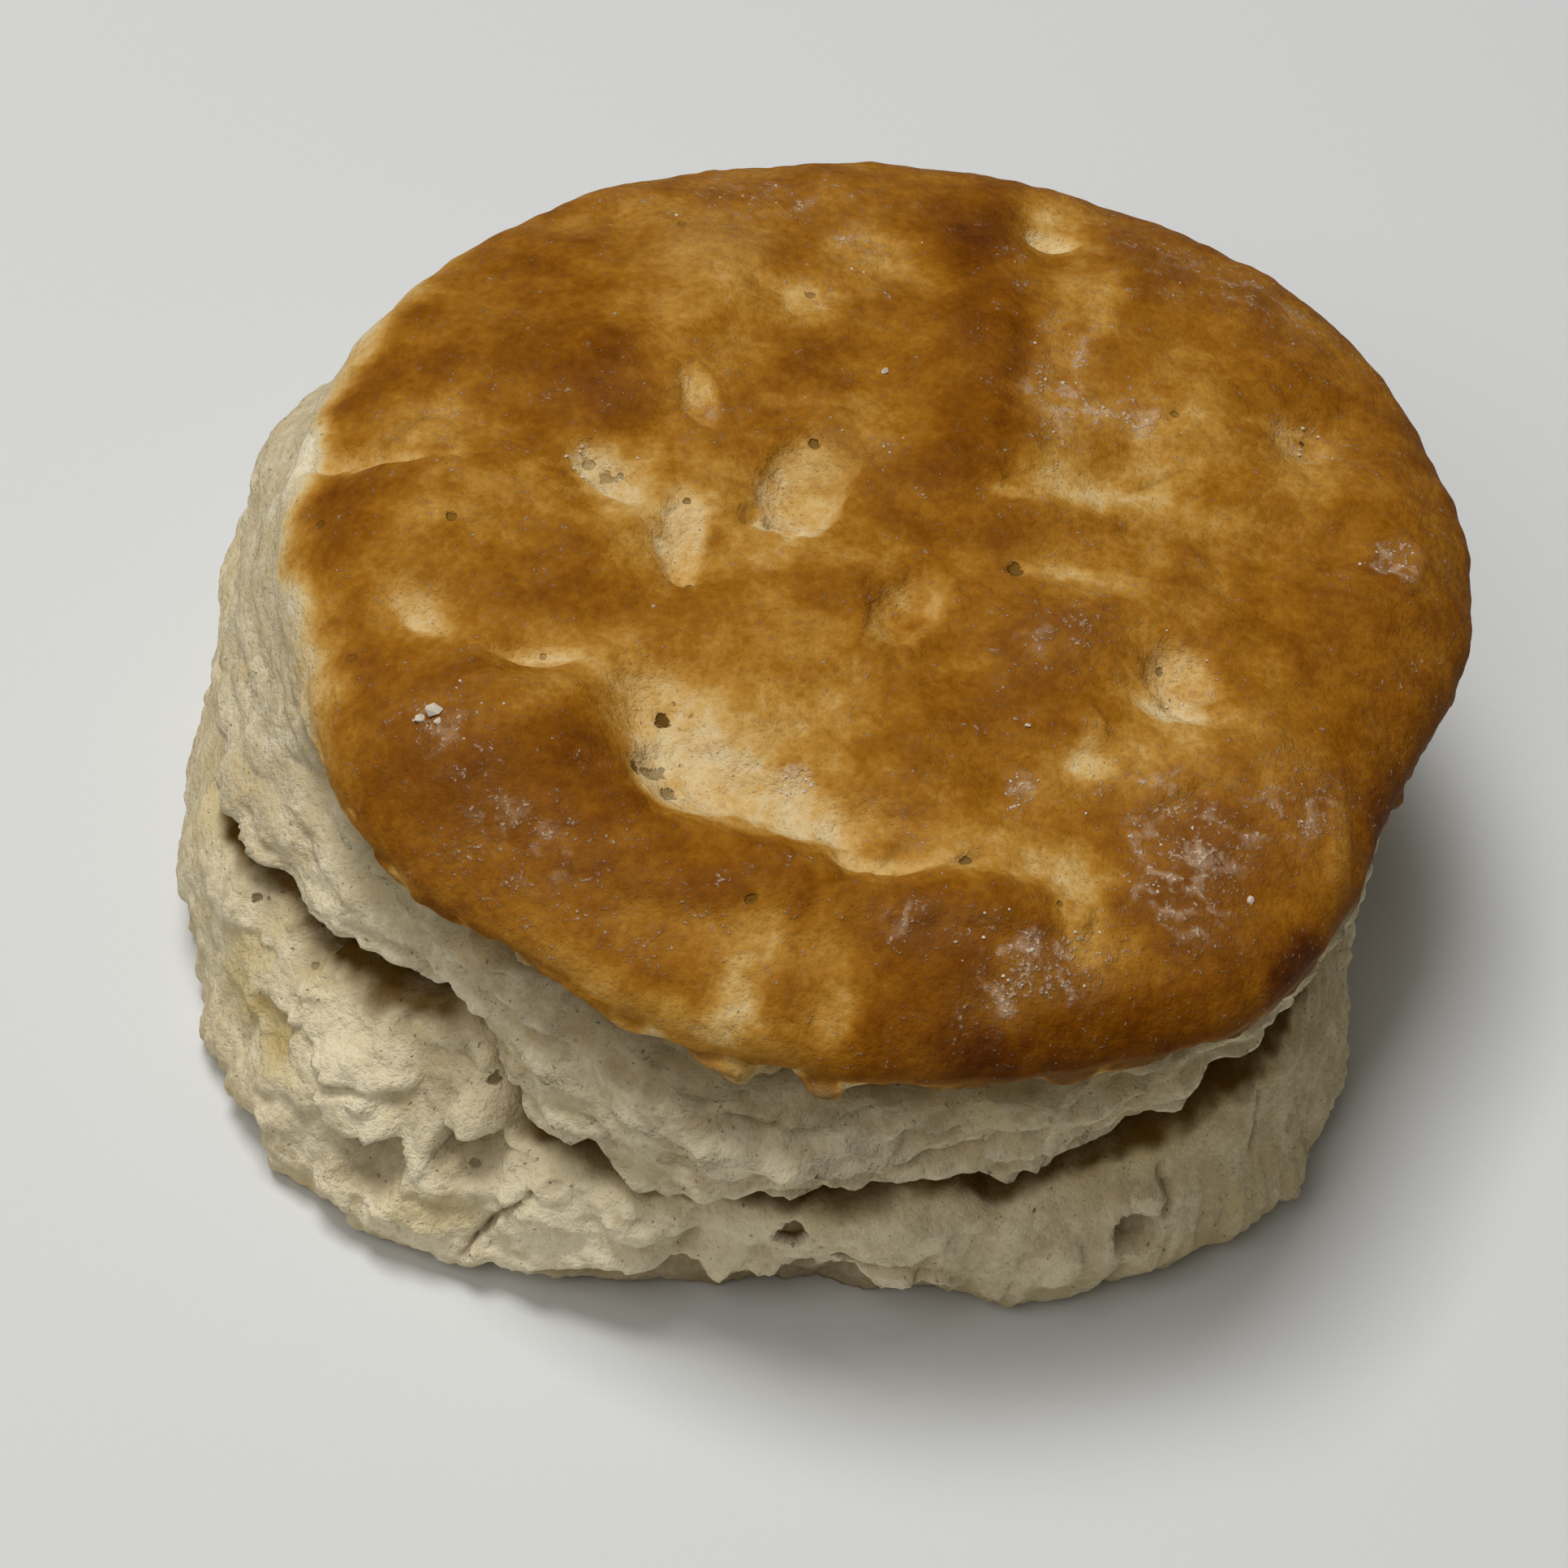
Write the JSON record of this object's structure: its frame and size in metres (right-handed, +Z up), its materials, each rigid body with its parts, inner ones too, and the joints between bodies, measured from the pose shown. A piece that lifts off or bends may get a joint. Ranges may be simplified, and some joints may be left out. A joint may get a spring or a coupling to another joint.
{
  "type": "flaky baking-powder bread biscuit",
  "caption": "Round, soft, flaky bread biscuit with a browned, blistered crown and pale layered sides that slump to one side; it lies on its flat bottom.",
  "frame": {"origin": "on the table, at the middle of the flat bottom, on the foot of the leaning axis", "axes": "+Z up, -Y towards the side that faces the camera in the picture, +X towards the side that the crown leans over"},
  "size_m": [0.0801, 0.0776, 0.0353],
  "materials": {
    "baked_dough": "matt baked dough: golden brown crust on the crown, pale cream sides, a dusting of flour"
  },
  "bodies": {
    "root": {"biscuit": "baked_dough"}
  },
  "joints": []
}
